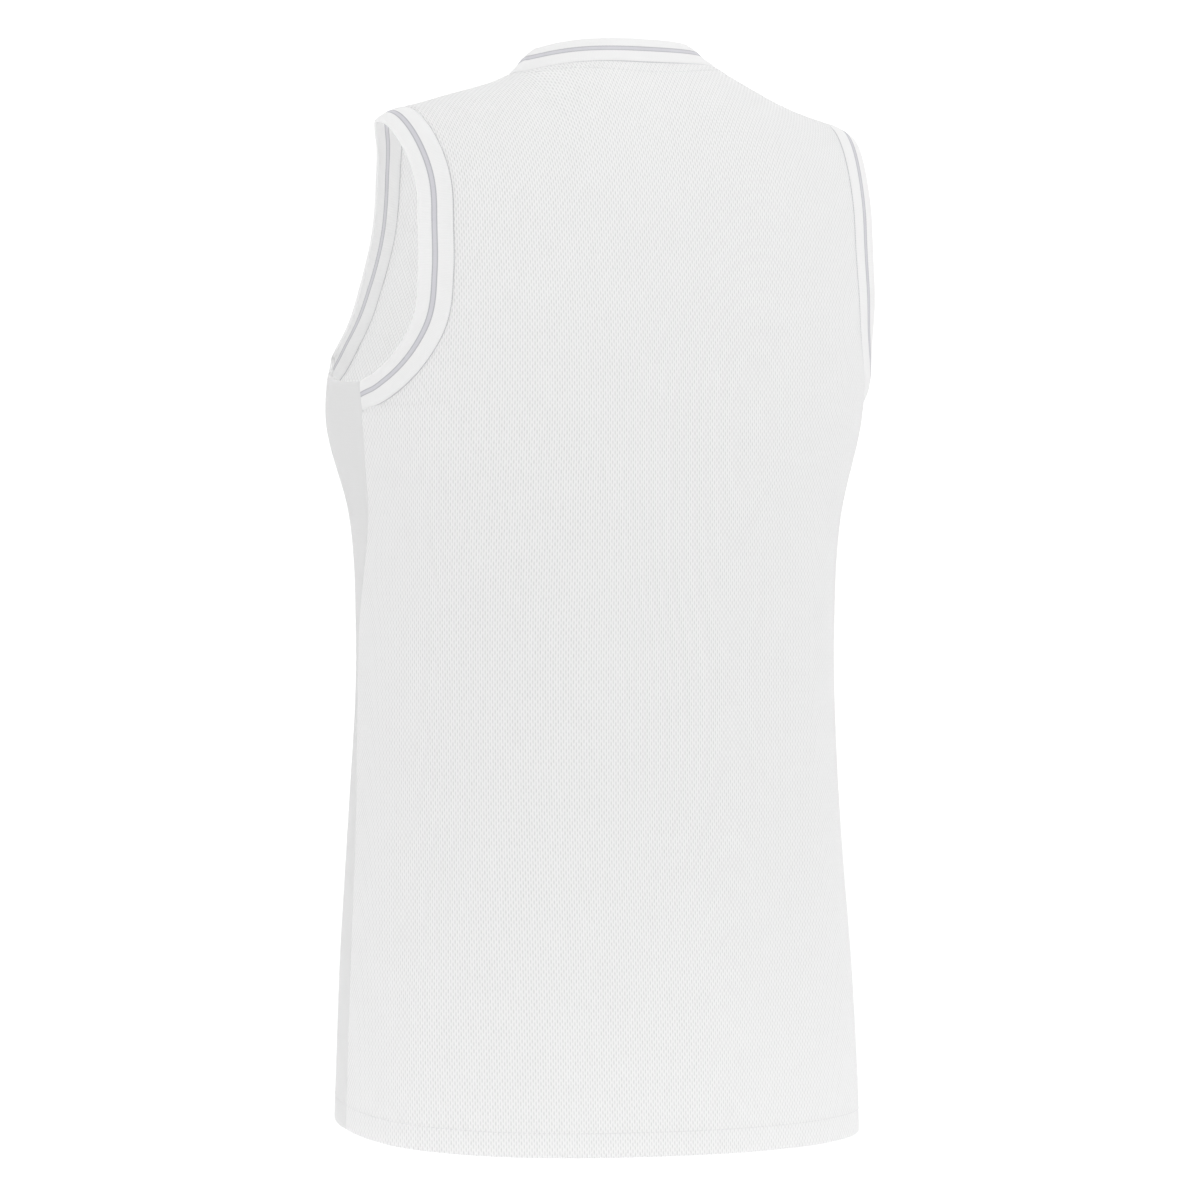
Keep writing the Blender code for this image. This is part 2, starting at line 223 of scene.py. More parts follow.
def body_point(angle, height):
    """A point of the figure at an angle from the middle back, round towards +X, at a height."""
    angle, height = np.broadcast_arrays(np.asarray(angle, float), np.asarray(height, float))
    half_width = curve_through(SECTIONS, "half_width", height)
    behind = np.cos(angle) >= 0
    back_depth, back_square = depth_and_square(height, BACK)
    front_depth, front_square = depth_and_square(height, FRONT)
    depth = np.where(behind, back_depth, front_depth)
    square = np.where(behind, back_square, front_square)
    across = np.abs(np.sin(angle)) / half_width
    along = np.abs(np.cos(angle)) / depth
    radius = (across**square + along**square) ** (-1 / square)
    side_y = curve_through(SECTIONS, "side_y", height)
    return np.stack([radius * np.sin(angle), side_y + radius * np.cos(angle), height], axis=-1)


def shoulder_line(x):
    out = np.abs(x) - NECK_HALF_WIDTH
    length = SHOULDER_HALF_WIDTH - NECK_HALF_WIDTH
    flattening = (SHOULDER_SLOPE_AT_NECK - SHOULDER_SLOPE_AT_TIP) / (2 * length)
    shoulder = -SHOULDER_SLOPE_AT_NECK * out + flattening * out**2
    arch = SHOULDER_SLOPE_AT_NECK * (NECK_HALF_WIDTH**2 - x**2) / (2 * NECK_HALF_WIDTH)
    return np.where(out > 0, shoulder, arch)


def upper_point(x, height, facing):
    """A point above the armpits, where the cloth rounds over to the shoulder line."""
    depth, square = depth_and_square(height, facing)
    half_width = curve_through(SECTIONS, "half_width", height)
    side_y = curve_through(SECTIONS, "side_y", height)
    inside = np.clip(1 - (np.abs(x) / half_width) ** square, 1e-6, 1)
    full_y = side_y + facing * depth * inside ** (1 / square)
    share_out = np.clip(np.abs(x) / SHOULDER_HALF_WIDTH, 0, 1)
    rounding = ROUNDING_AT_NECK + (ROUNDING_AT_TIP - ROUNDING_AT_NECK) * share_out
    below = np.clip((shoulder_line(x) - height) / rounding, 0, 1)
    share = np.sqrt(1 - (1 - below) ** 2)
    ridge_y = -SHOULDER_SWEEP * (1 - share_out)
    return np.stack([x, ridge_y + (full_y - ridge_y) * share, height], axis=-1)


def hem_height(angle):
    forward = curve_through(SECTIONS, "back_y", HEM_HEIGHT) - body_point(angle, HEM_HEIGHT)[..., 1]
    return HEM_HEIGHT + HEM_RISE * forward + HEM_RISE_GROWTH * forward**2


waist = np.linalg.norm(np.diff(body_point(np.linspace(0, 2 * math.pi, 400), -360.0), axis=0), axis=1)
print(f"round the waist {waist.sum():.0f} mm")

# %% [markdown]
# ## Grids of points for the pieces
#
# Each piece of cloth starts as a grid: rows run up from the hem and columns run across between
# two seams.  A seam is worked out once and used for the pieces on both sides of it, so they meet
# exactly.  Each grid point also carries where it lies on the flat cloth, in millimetres: how far
# across and how far up.  The knit's pattern is drawn with that later, so that the rows of holes
# follow the grain of the cloth as real ones do, and don't float through it.

# %% Seams and panels
NECK_STEPS = 14
SHOULDER_STEPS = 10
BODY_ROWS = 30
ARMHOLE_ROWS = 32
SIDE_STEPS = 12
TRIM_STEPS = 4
CROWDING = 2.0
NECK_CROWDING = 1.3
NECK_CROWDING_DROP = 60.0
EVEN_START = 0.6
FINE_STEPS = 200
SETTLING_ROUNDS = 8
NECK_EVENING_ROUNDS = 20
ARMHOLE_EVENING_ROUNDS = 12


def seam_angle(height, facing):
    return np.radians(
        curve_through(SIDE_SEAMS, "back_angle" if facing == BACK else "front_angle", height)
    )


def corner_height(facing):
    return BACK_CORNER if facing == BACK else FRONT_CORNER


def side_seam(facing):
    bottom = HEM_HEIGHT
    for _ in range(SETTLING_ROUNDS):
        bottom = float(hem_height(seam_angle(bottom, facing)))
    heights = np.linspace(bottom, corner_height(facing), BODY_ROWS + 1)
    return seam_angle(heights, facing), heights


def even_angles(start, end, height, steps):
    fine = np.linspace(start, end, FINE_STEPS)
    length = running_length(body_point(fine, height))
    return np.interp(np.linspace(0, length[-1], steps + 1), length, fine)


def neckline(facing):
    drop = BACK_NECK_DROP if facing == BACK else FRONT_NECK_DROP
    turn = np.linspace(0, math.pi / 2, FINE_STEPS)
    x = NECK_HALF_WIDTH * np.sin(turn)
    z = -drop * np.cos(turn)
    length = running_length(upper_point(x, z, facing))
    even = np.linspace(0, length[-1], NECK_STEPS + 1)
    return np.interp(even, length, x), np.interp(even, length, z)


def armhole_half_width(height, facing):
    column = "across_back" if facing == BACK else "across_front"
    corner = corner_height(facing)
    corner_x = float(body_point(seam_angle(corner, facing), corner)[0])
    tip = float(shoulder_line(SHOULDER_HALF_WIDTH))
    row = namedtuple("row", ["height", column])
    rows = [row(corner, corner_x)]
    between = [entry for entry in ARMHOLE if entry.height > corner + SEAM_ROW_SPACING]
    rows += [row(entry.height, getattr(entry, column)) for entry in between]
    rows += [row(tip, SHOULDER_HALF_WIDTH)]
    return curve_through(rows, column, height)


def half_panel(facing):
    """Half of the back or the front: rows from the hem up, columns from the middle out."""
    steps = NECK_STEPS + SHOULDER_STEPS
    rows = []
    angles, heights = side_seam(facing)
    middle = 0.0 if facing == BACK else math.pi
    hem = hem_height(even_angles(middle, angles[0], heights[0], steps))
    for row, (edge_angle, edge_height) in enumerate(zip(angles, heights)):
        across = even_angles(middle, edge_angle, edge_height, steps)
        share = row / BODY_ROWS
        rows.append(body_point(across, hem + share * (corner_height(facing) - hem)))

    corner = corner_height(facing)
    corner_x = rows[-1][:, 0]
    neck_x, neck_z = neckline(facing)
    shoulder_x = np.linspace(NECK_HALF_WIDTH, SHOULDER_HALF_WIDTH, SHOULDER_STEPS + 1)
    top_x = np.concatenate([neck_x, shoulder_x[1:]])
    top_z = np.concatenate([neck_z, shoulder_line(shoulder_x[1:])])
    top_below = shoulder_line(top_x) - top_z
    full_below = shoulder_line(corner_x) - corner
    low_top = smooth_step(top_below / NECK_CROWDING_DROP)
    crowding = CROWDING + (NECK_CROWDING - CROWDING) * low_top
    for row in range(1, ARMHOLE_ROWS + 1):
        share = row / ARMHOLE_ROWS
        left_over = (1 - share) ** crowding * (1 + (crowding - EVEN_START) * share)
        below = top_below + (full_below - top_below) * left_over
        fraction = corner_x / corner_x[-1]
        fraction = fraction + (top_x / top_x[-1] - fraction) * smooth_step(share)
        edge_x = SHOULDER_HALF_WIDTH
        for _ in range(SETTLING_ROUNDS):
            edge_height = float(shoulder_line(edge_x)) - below[-1]
            edge_x = float(armhole_half_width(edge_height, facing))
        x = edge_x * fraction
        rows.append(upper_point(x, shoulder_line(x) - below, facing))
    return np.array(rows)


def side_panel_edge(facing):
    angles, heights = side_seam(facing)
    above = np.linspace(0, CORNER_TO_TOP_EDGE, TRIM_STEPS + 1)[1:] + corner_height(facing)
    return np.concatenate([angles, seam_angle(above, facing)]), np.concatenate([heights, above])


def side_panel_rows():
    back_angles, back_heights = side_panel_edge(BACK)
    front_angles, front_heights = side_panel_edge(FRONT)
    share = np.linspace(0, 1, SIDE_STEPS + 1)
    rows = []
    for row in range(len(back_angles)):
        angle = back_angles[row] + (front_angles[row] - back_angles[row]) * share
        height = back_heights[row] + (front_heights[row] - back_heights[row]) * share
        if row == 0:
            height = hem_height(angle)
        sag = smooth_step((height - BACK_CORNER) / CORNER_TO_TOP_EDGE)
        height = height - TOP_EDGE_SAG * sag * 4 * share * (1 - share)
        rows.append(body_point(angle, height))
    return np.array(rows)


half_back = half_panel(BACK)
half_front = half_panel(FRONT)
side_rows = side_panel_rows()
print("grids:", half_back.shape, half_front.shape, side_rows.shape)

# %% [markdown]
# ## The trim's grids
#
# The neck and armhole trim is a strip of rib knit, 22 mm wide, sewn on by one long edge.  Its
# grid follows the seam, and its rows step away from it, square to the seam and flat with the
# cloth at first, then bending a little with the body.

# %% Trim


def upper_normal(points, facing):
    """The way outwards at points of the cloth above the armpits."""
    x, _, z = points.T
    z = np.minimum(z, shoulder_line(x) - 0.5)
    step = 0.01
    across = upper_point(x + step, z, facing) - upper_point(x - step, z, facing)
    down = upper_point(x, z - step, facing) - upper_point(x, z + step, facing)
    return facing * unit(np.cross(across, down))


def both_normals(back, front):
    back_normals = upper_normal(back, BACK)
    front_normals = upper_normal(front, FRONT)
    shared = unit(back_normals[-1] + front_normals[-1])
    return np.concatenate([back_normals[:-1], shared[None], front_normals[-2::-1]])


def evened(directions, rounds):
    for _ in range(rounds):
        middle = (directions[:-2] + 2 * directions[1:-1] + directions[2:]) / 4
        directions = np.concatenate([directions[:1], middle, directions[-1:]])
    return unit(directions)


def trim_rows(edge, off, outward, bend):
    step = TRIM_WIDTH / TRIM_STEPS
    rows = [edge]
    for row in range(TRIM_STEPS):
        turn = np.radians(bend) * (row + 0.5) / TRIM_STEPS
        rows.append(rows[-1] + step * (np.cos(turn) * off - np.sin(turn) * outward))
    return np.array(rows)


def neck_trim():
    back = half_back[-1, : NECK_STEPS + 1]
    front = half_front[-1, : NECK_STEPS + 1]
    edge = np.concatenate([back, front[-2::-1]])
    outward = both_normals(back, front)
    outward[[0, -1], 0] = 0
    along = np.gradient(edge, axis=0)
    along[[0, -1], 1:] = 0
    off = evened(unit(np.cross(along, outward)), NECK_EVENING_ROUNDS)
    return trim_rows(edge, off, unit(outward), NECK_TRIM_BEND)


def armhole_trim():
    back = half_back[BODY_ROWS:, -1]
    front = half_front[BODY_ROWS:, -1]
    edge = np.concatenate([back, front[-2::-1]])
    outward = both_normals(back, front)
    off = evened(unit(np.cross(outward, np.gradient(edge, axis=0))), ARMHOLE_EVENING_ROUNDS)
    bend = np.concatenate(
        [
            curve_through(ARMHOLE_TRIM_BEND, "back", back[:, 2]),
            curve_through(ARMHOLE_TRIM_BEND, "front", front[-2::-1, 2]),
        ]
    )
    rows = trim_rows(edge, off, outward, bend[:, None])
    length = running_length(edge)
    for facing, distance in ((BACK, length), (FRONT, length[-1] - length)):
        panel_angles, panel_heights = side_panel_edge(facing)
        cut = body_point(panel_angles[BODY_ROWS:], panel_heights[BODY_ROWS:])
        sheared = edge[None] + (cut - cut[0])[:, None]
        regular = smooth_step(distance / END_BLEND)[None, :, None]
        rows = sheared * (1 - regular) + rows * regular
    return rows


def both_halves(half):
    return np.concatenate([(half * MIRROR)[:, :0:-1], half], axis=1)


neck_rows = both_halves(neck_trim())[:, 1:]
armhole_rows = armhole_trim()
print("neck seam", round(running_length(neck_rows[0])[-1]), "mm; armhole seam",
      round(running_length(armhole_rows[0])[-1]), "mm")

# %% [markdown]
# ## How the cloth hangs
#
# Light knitted cloth on a body hangs nearly smooth.  What is left are a few long, soft ridges and
# hollows, a centimetre or two deep at most on a loose shirt and a few millimetres on this one.
# They could be simulated, but a simulation falls differently each time the cloth changes, so
# they are listed instead: each row of the table is one soft ridge, or a hollow where its
# depth is negative.  No two are alike in length, lean or depth.
#
# The same function moves every piece, so the seams stay shut.

# %% Soft ridges and hollows
Fold = namedtuple("Fold", "angle height half_length half_width lean depth")
FOLDS = (
    # across the back
    Fold(30, -366, 95, 26, 4, 2.6),
    Fold(66, -452, 105, 24, -6, -3.4),
    Fold(47, -545, 80, 25, 5, 2.8),
    Fold(-6, -630, 75, 30, 8, 2.6),
    Fold(12, -470, 90, 34, -8, -1.6),
    Fold(-32, -560, 100, 26, -4, -2.2),
    Fold(-50, -430, 110, 28, 6, 1.8),
    Fold(-62, -600, 80, 20, 5, 2.4),
    Fold(74, -625, 60, 18, -3, 2.0),
    Fold(28, -628, 60, 17, 3, -1.8),
    Fold(40, -262, 60, 20, 34, -1.5),
    Fold(-42, -268, 66, 21, -38, -1.4),
    Fold(4, -215, 90, 40, 2, -1.6),
    # down the sides
    Fold(104, -375, 110, 15, 3, 1.1),
    Fold(112, -520, 90, 17, -5, 1.6),
    Fold(-106, -352, 80, 15, -8, -1.9),
    Fold(-110, -540, 85, 16, 4, 1.5),
    # across the front
    Fold(141, -235, 62, 15, 44, -2.6),
    Fold(150, -262, 70, 16, 38, 1.8),
    Fold(-143, -240, 58, 14, -46, -2.4),
    Fold(-152, -270, 75, 17, -36, 1.9),
    Fold(170, -400, 110, 30, 6, -2.6),
    Fold(-160, -470, 120, 27, -5, 2.8),
    Fold(156, -560, 90, 22, 4, 2.8),
    Fold(-178, -600, 75, 26, -6, -2.4),
    Fold(-140, -610, 65, 19, 3, -2.2),
    Fold(137, -640, 50, 17, -4, -1.8),
)
FADE_START = -205.0  # the folds die away above the armpits, where the cloth lies on the body
FADE_END = -120.0
BACK_NECK_ARCH = 3.0  # the back of the neck stands up in the middle, held by its trim
ARCH_START = -60.0
ARCH_END_DROP = 1.5  # the fall from the middle of the arch to its ends, as a share of its rise


def draped(points, normals):
    """Move points in or out by the folds that pass them."""
    x, y, z = np.moveaxis(points, -1, 0)
    side_y = curve_through(SECTIONS, "side_y", z)
    angle = np.degrees(np.arctan2(x, y - side_y))
    round_mm = math.pi / 180 * curve_through(SECTIONS, "half_width", z) * 0.85
    depth = np.zeros_like(x)
    for fold in FOLDS:
        away = ((angle - fold.angle + 180) % 360 - 180) * round_mm
        up = z - fold.height
        lean = math.radians(fold.lean)
        across = away * math.cos(lean) - up * math.sin(lean)
        along = up * math.cos(lean) + away * math.sin(lean)
        depth += fold.depth * np.exp(
            -((across / fold.half_width) ** 2) - (along / fold.half_length) ** 4
        )
    depth *= 1 - smooth_step((z - FADE_START) / (FADE_END - FADE_START))
    return points + normals * depth[..., None]


def settled(points):
    """Shape the neck as it hangs: its back arched up, its left side a little lower."""
    x, z = points[..., 0], points[..., 2]
    out = (np.abs(x) - NECK_HALF_WIDTH) / (SHOULDER_HALF_WIDTH - NECK_HALF_WIDTH)
    near_neck = 1 - smooth_step(out / NECK_TILT_REACH)
    high_up = smooth_step((z - FRONT_CORNER) / -FRONT_CORNER)
    across = np.clip(x / NECK_HALF_WIDTH, -1, 1)
    lower = NECK_TILT * across**3 * near_neck * high_up
    arch = 1 - ARCH_END_DROP * across**4
    lower -= BACK_NECK_ARCH * arch * near_neck * smooth_step((z - ARCH_START) / -ARCH_START)
    return points - np.stack([0 * lower, 0 * lower, lower], axis=-1)


print(len(FOLDS), "soft ridges and hollows")

# %% [markdown]
# ## From a grid to a shell with good edges
#
# A sewn edge isn't a straight cut.  Where two pieces are joined, both turn down into the seam
# and leave a groove about a millimetre wide.  A hem or a rib's free edge is a fold, so it is
# round.  Both need points much closer together at the edges than in the middle, so each grid is
# sampled again: at given distances in from its edges, and evenly between them.

# %% Sampling a grid again
SEAM_DISTANCES = (0, 0.3, 0.7, 1.2, 1.8, 2.6, 4.0, 6.0)
NECK_DISTANCES = (0, 0.3, 0.7, 1.2, 1.8, 2.6, 4.0, 6.5, 8.6, 9.1, 9.5, 9.9, 10.4, 12.0, 14.5)
HEM_DISTANCES = (0, 0.06, 0.22, 0.45, 0.8, 2.5, 6, 10, 13.6, 14.3, 14.7, 15, 15.3, 15.7, 16.6, 18, 21)
GRAIN_STEPS = 24
NORMALS_BLEND = (-110.0, -70.0)


def sample_lines(lines, places):
    """Values at fractional places along each line, on a smooth curve through the line's own."""
    slopes = np.gradient(lines, axis=1)
    before = np.clip(places.astype(int), 0, lines.shape[1] - 2)
    t = (places - before)[..., None]

    def pick(values, index):
        return np.take_along_axis(values, index[..., None], axis=1)

    return (
        pick(lines, before) * (1 + 2 * t) * (1 - t) ** 2
        + pick(lines, before + 1) * t**2 * (3 - 2 * t)
        + pick(slopes, before) * t * (1 - t) ** 2
        - pick(slopes, before + 1) * t**2 * (1 - t)
    )


def spread(lines, first, last, spacing, alike=False):
    """Sample lines at given distances in from their ends, and evenly between them.

    With alike, every line is sampled at the first line's places, so that a ring still meets.

    Returns the new lines and each point's distance from the line's start and from its end.
    """
    length = np.moveaxis(running_length(np.moveaxis(lines[..., :3], 1, 0)), 0, 1)
    if alike:
        length = np.broadcast_to(length[:1], length.shape)
    total = length[:, -1:]
    first, last = np.array(first, float), np.array(last, float)
    count = max(2, round(float((total - first[-1] - last[-1]).mean()) / spacing))
    share = np.linspace(0, 1, count + 1)[1:-1]
    middle = first[-1] + share * (total - first[-1] - last[-1])
    start = np.broadcast_to(first, (len(lines), len(first)))
    wanted = np.concatenate([start, middle, total - last[::-1]], axis=1)
    index = np.arange(lines.shape[1])
    places = np.array([np.interp(w, one, index) for w, one in zip(wanted, length)])
    return sample_lines(lines, places), wanted, total - wanted


def grid_normals(points, centre=(0.0, -20.0, -150.0)):
    """Directions square to a grid, all on the side away from the body's middle."""
    up = np.gradient(points, axis=0)
    across = np.gradient(points, axis=1)
    normals = unit(np.cross(up, across))
    away = points - np.array(centre)
    away[..., 2] = np.where(points[..., 2] < FRONT_CORNER, 0, away[..., 2])
    side = 1.0 if (normals * away).sum(axis=-1).mean() > 0 else -1.0
    return normals * side, side


def refined(rows, cut, across, up, spacing, alike=False, facing=None):
    """Drape a grid, then sample it again both ways.

    across and up each hold the distances to sample at from the first edge and from the last.
    Returns a dictionary of arrays: points, normals, cut, and distances from the four edges.
    """
    normals, side = grid_normals(rows)
    if facing:  # the corners of the neck are too slanted for a grid's own directions
        share = smooth_step((rows[..., 2] - NORMALS_BLEND[0]) / np.ptp(NORMALS_BLEND))[..., None]
        surface = upper_normal(rows.reshape(-1, 3), facing).reshape(rows.shape)
        normals = unit(normals * (1 - share) + surface * share)
    points = settled(draped(rows, normals))
    values = np.concatenate([points, normals, cut], axis=-1)
    values, left, right = spread(values, across[0], across[1], spacing, alike)
    values = np.concatenate([values, left[..., None], right[..., None]], axis=-1)
    lines, bottom, top = spread(values.transpose(1, 0, 2), up[0], up[1], spacing)
    lines = lines.transpose(1, 0, 2)
    return {
        "points": lines[..., :3],
        "normals": unit(lines[..., 3:6]),
        "cut": lines[..., 6:8],
        "left": lines[..., 8],
        "right": lines[..., 9],
        "bottom": bottom.T,
        "top": top.T,
        "side": side,
    }


# %% [markdown]
# ## Where a point lies on the flat cloth
#
# On a real jersey the rows of holes run straight up each piece as it was cut.  Below the armpits
# that is simply the height, and the distance round from the middle.  Above them the cloth leans
# and rounds over towards the shoulder, so its length is added up along the curve.

# %% Places on the flat cloth


def panel_cut(half, facing):
    """How far across from the middle and how far up the flat cloth each grid point lies."""
    x, z = half[..., 0], half[..., 2]
    across = np.moveaxis(running_length(np.moveaxis(half, 1, 0)), 0, 1)
    armpit_x, armpit_across = x[BODY_ROWS], across[BODY_ROWS]
    corner = corner_height(facing)
    above = slice(BODY_ROWS + 1, None)
    across[above] = np.interp(x[above], armpit_x, armpit_across)
    up = z.copy()
    heights = corner + (z[above] - corner) * np.linspace(0, 1, GRAIN_STEPS)[:, None, None]
    leaning = upper_point(np.broadcast_to(x[above], heights.shape), heights, facing)
    up[above] = corner + running_length(leaning)[-1]
    return np.stack([across, up], axis=-1)


def both_cuts(half_cut):
    return np.concatenate([(half_cut * [-1, 1])[:, :0:-1], half_cut], axis=1)


def strip_cut(rows):
    """For the side panel: across from its middle column, and its height."""
    across = np.moveaxis(running_length(np.moveaxis(rows, 1, 0)), 0, 1)
    across = across - across[:, SIDE_STEPS // 2][:, None]
    return np.stack([across, rows[..., 2]], axis=-1)


def trim_cut(rows):
    """For trim: along the seam, and across from it."""
    along = np.broadcast_to(running_length(rows[0]), rows.shape[:2])
    across = np.linspace(0, TRIM_WIDTH, TRIM_STEPS + 1)[:, None]
    return np.stack([along, np.broadcast_to(across, rows.shape[:2])], axis=-1)


back_cut = panel_cut(half_back, BACK)
print("back, flat:", (2 * back_cut[..., 0].max()).round(), "x", np.ptp(back_cut[..., 1]).round())

# %% [markdown]
# ## Making the shells
#
# The outside of a piece is its grid, moved in at the seams and round its free edges.  The inside
# is the same grid, a thickness further in.  The two are joined all round, so each piece is one
# closed skin, with no loose faces, as the printer or the game that reads it expects.

# %% Edges and shells
PANEL_CLOTH = 0.9
TRIM_CLOTH = 2.0
SEAM_SINK = 0.9
SEAM_REACH = 2.4
HEM_WIDTH = 15.0
HEM_CLOTH = 1.7
NECK_STITCH_IN = 9.5  # the topstitching runs this far below the neck seam
NECK_GROOVE = 0.3
HEM_GROOVE = 0.12
STITCH_GROOVE_WIDTH = 0.7
ALLOWANCE = 5.5  # the seam allowance lies inside the cloth, this wide
ALLOWANCE_CLOTH = 0.9
STEP_WIDTH = 1.2  # the cloth goes from one layer to two over this width at a hem
ALLOWANCE_STEP_WIDTH = 1.0
LEAST_CLOTH = 0.5  # the shell is nowhere thinner than this, apart from its edges
MERGE_DISTANCE = 2e-6  # metres


def seam_dip(distance):
    """How far the cloth turns down into a seam, by the distance from it."""
    return -SEAM_SINK * (1 - np.clip(distance / SEAM_REACH, 0, 1)) ** 2


def groove(distance, at, depth):
    return -depth * np.exp(-(((distance - at) / STITCH_GROOVE_WIDTH) ** 2))


def rounded(outer, inner, distance):
    """Bring the two sides of a folded edge together in half a circle."""
    half = (outer - inner) / 2
    middle = (outer + inner) / 2
    inward = np.clip(1 - distance / half, 0, 1)
    keep = np.sqrt(1 - inward**2)
    return middle + half * keep, middle - half * keep


def shell(name, grid, outer, inner, material, ring=False):
    """Join an outside and an inside, each the grid moved along its normals, into one piece."""
    points, normals, cut = grid["points"], grid["normals"], grid["cut"]
    count, width = points.shape[:2]
    both = [points + normals * outer[..., None], points + normals * inner[..., None]]
    vertices = np.concatenate([side.reshape(-1, 3) for side in both]) * MM
    index = np.arange(count * width).reshape(count, width)
    if ring:
        index = np.concatenate([index, index[:, :1]], axis=1)
    a, b = index[:-1, :-1], index[:-1, 1:]
    c, d = index[1:, 1:], index[1:, :-1]
    front = np.stack([a, d, c, b], axis=-1).reshape(-1, 4)
    if grid["side"] < 0:
        front = front[:, ::-1]
    other = count * width
    faces = [front, front[:, ::-1] + other]
    borders = [index[0], index[-1][::-1]]
    if not ring:
        borders += [index[::-1, 0], index[:, -1]]
    for line in borders:
        rim = np.stack([line[:-1], line[1:], line[1:] + other, line[:-1] + other], axis=-1)
        faces.append(rim if grid["side"] > 0 else rim[:, ::-1])
    faces = np.concatenate(faces)
    mesh = bpy.data.meshes.new(name)
    mesh.from_pydata(vertices.tolist(), [], faces.tolist())
    flat = np.concatenate([cut.reshape(-1, 2)] * 2)
    corners = flat[faces.reshape(-1)]
    if ring:  # the last strip of faces joins the end of the ring to its start
        seam = corners.reshape(-1, 4, 2)
        spans = np.ptp(seam[..., 0], axis=1) > cut[..., 0].max() / 2
        low = seam[..., 0] < cut[..., 0].max() / 2
        seam[..., 0] += np.where(spans[:, None] & low, grid["period"], 0)
    layer = mesh.uv_layers.new(name="cut")
    layer.data.foreach_set("uv", corners.reshape(-1).astype(np.float32))
    mesh.materials.append(material)
    mesh.shade_smooth()
    tidy = bmesh.new()
    tidy.from_mesh(mesh)
    bmesh.ops.remove_doubles(tidy, verts=tidy.verts, dist=MERGE_DISTANCE)
    bmesh.ops.recalc_face_normals(tidy, faces=tidy.faces)
    tidy.to_mesh(mesh)
    tidy.free()
    piece = bpy.data.objects.new(name, mesh)
    bpy.context.scene.collection.objects.link(piece)
    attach(piece, "root")
    print(f"{name}: {len(mesh.polygons)} faces")
    return piece


# %% [markdown]
# ## The cloths
#
# All of the jersey is polyester, dyed white, and matt.  Polyester's refractive index is about
# 1.58, but a knit's surface is broken into loops that face every way, so it is given a high
# roughness and shows no highlight, only a little sheen from stray fibres.
#
# Thin white cloth also lets light through: hold such a jersey up and its inside glows.  That is
# why the inside of the armhole in the photograph is nearly as bright as the back.  Here a part of
# the light goes through the outer skin of the shell, and all of it through the skin behind, so
# that one thickness of cloth dims it once.

# %% Colours, nodes and see-through cloth


def linear(hex_code):
    """An sRGB colour such as #F2F2F4 as the linear values that a shader works in."""
    values = [int(hex_code[i : i + 2], 16) / 255 for i in (1, 3, 5)]
    curved = [v / 12.92 if v <= 0.04045 else ((v + 0.055) / 1.055) ** 2.4 for v in values]
    return (*curved, 1.0)


def add_node(tree, kind, sockets=None, **settings):
    """Add a node, set its properties, and give its sockets values or other nodes' outputs."""
    node = tree.nodes.new(kind)
    for name, value in settings.items():
        setattr(node, name, value)
    for socket, value in (sockets or {}).items():
        if isinstance(value, bpy.types.NodeSocket):
            tree.links.new(value, node.inputs[socket])
        else:
            node.inputs[socket].default_value = value
    return node


def new_cloth(name, roughness, sheen):
    """A polyester material: its tree, and the place on the flat cloth across and up, in mm."""
    material = bpy.data.materials.new(name)
    material.use_nodes = True
    tree = material.node_tree
    shader = tree.nodes["Principled BSDF"]
    shader.inputs["Roughness"].default_value = roughness
    shader.inputs["IOR"].default_value = 1.58
    shader.inputs["Specular IOR Level"].default_value = 0.25
    shader.inputs["Sheen Weight"].default_value = sheen
    shader.inputs["Sheen Roughness"].default_value = 0.5
    place = add_node(tree, "ShaderNodeUVMap", uv_map="cut").outputs["UV"]
    parted = add_node(tree, "ShaderNodeSeparateXYZ", {0: place})
    return material, tree, place, parted.outputs["X"], parted.outputs["Y"]


def finish_cloth(tree, colour, height, relief, share_through):
    """Give the shader its colour and bump, and let a share of the light through."""
    shader = tree.nodes["Principled BSDF"]
    bump = add_node(tree, "ShaderNodeBump", {"Height": height, "Strength": 1.0, "Distance": relief})
    tree.links.new(colour, shader.inputs["Base Color"])
    tree.links.new(bump.outputs["Normal"], shader.inputs["Normal"])
    through = add_node(tree, "ShaderNodeBsdfTranslucent", {"Color": linear("#FAFAFA")})
    from_within = add_node(tree, "ShaderNodeNewGeometry").outputs["Backfacing"]
    share = add_node(
        tree, "ShaderNodeMath", {0: from_within, 1: share_through}, operation="MAXIMUM"
    ).outputs[0]
    both = {0: share, 1: shader.outputs[0], 2: through.outputs[0]}
    mixed = add_node(tree, "ShaderNodeMixShader", both).outputs[0]
    tree.links.new(mixed, tree.nodes["Material Output"].inputs["Surface"])


print("white #F6F6F6 is", round(linear("#F6F6F6")[0], 3), "in linear light")

# %% [markdown]
# ## Birdseye mesh
#
# Birdseye is a warp-knitted polyester with small holes in staggered rows, made so that air can
# pass.  From a few metres away the holes read as short upright dashes, in columns about a
# millimetre and a half apart, with each column's dashes beside its neighbours' gaps.  The holes
# are far too many to cut, so they are drawn and pressed in, and coloured darker: painted shade
# for the dim inside that one looks into.
# Real loops aren't all pulled alike, so a little noise makes some dashes fainter than others.

# %% White birdseye mesh
HOLE_PITCH_ACROSS = 3.1
HOLE_PITCH_UP = 4.0
HOLE_WIDTH = 0.95
HOLE_HEIGHT = 3.8
# the holes' colour is painted shade, for the dim inside seen through them
HOLE_PAINTED_SHADE = "#CCCCCC"
MESH_WHITE = "#F4F4F4"
UNEVEN_SIZE = 2.5
UNEVEN_LEAST = 0.7


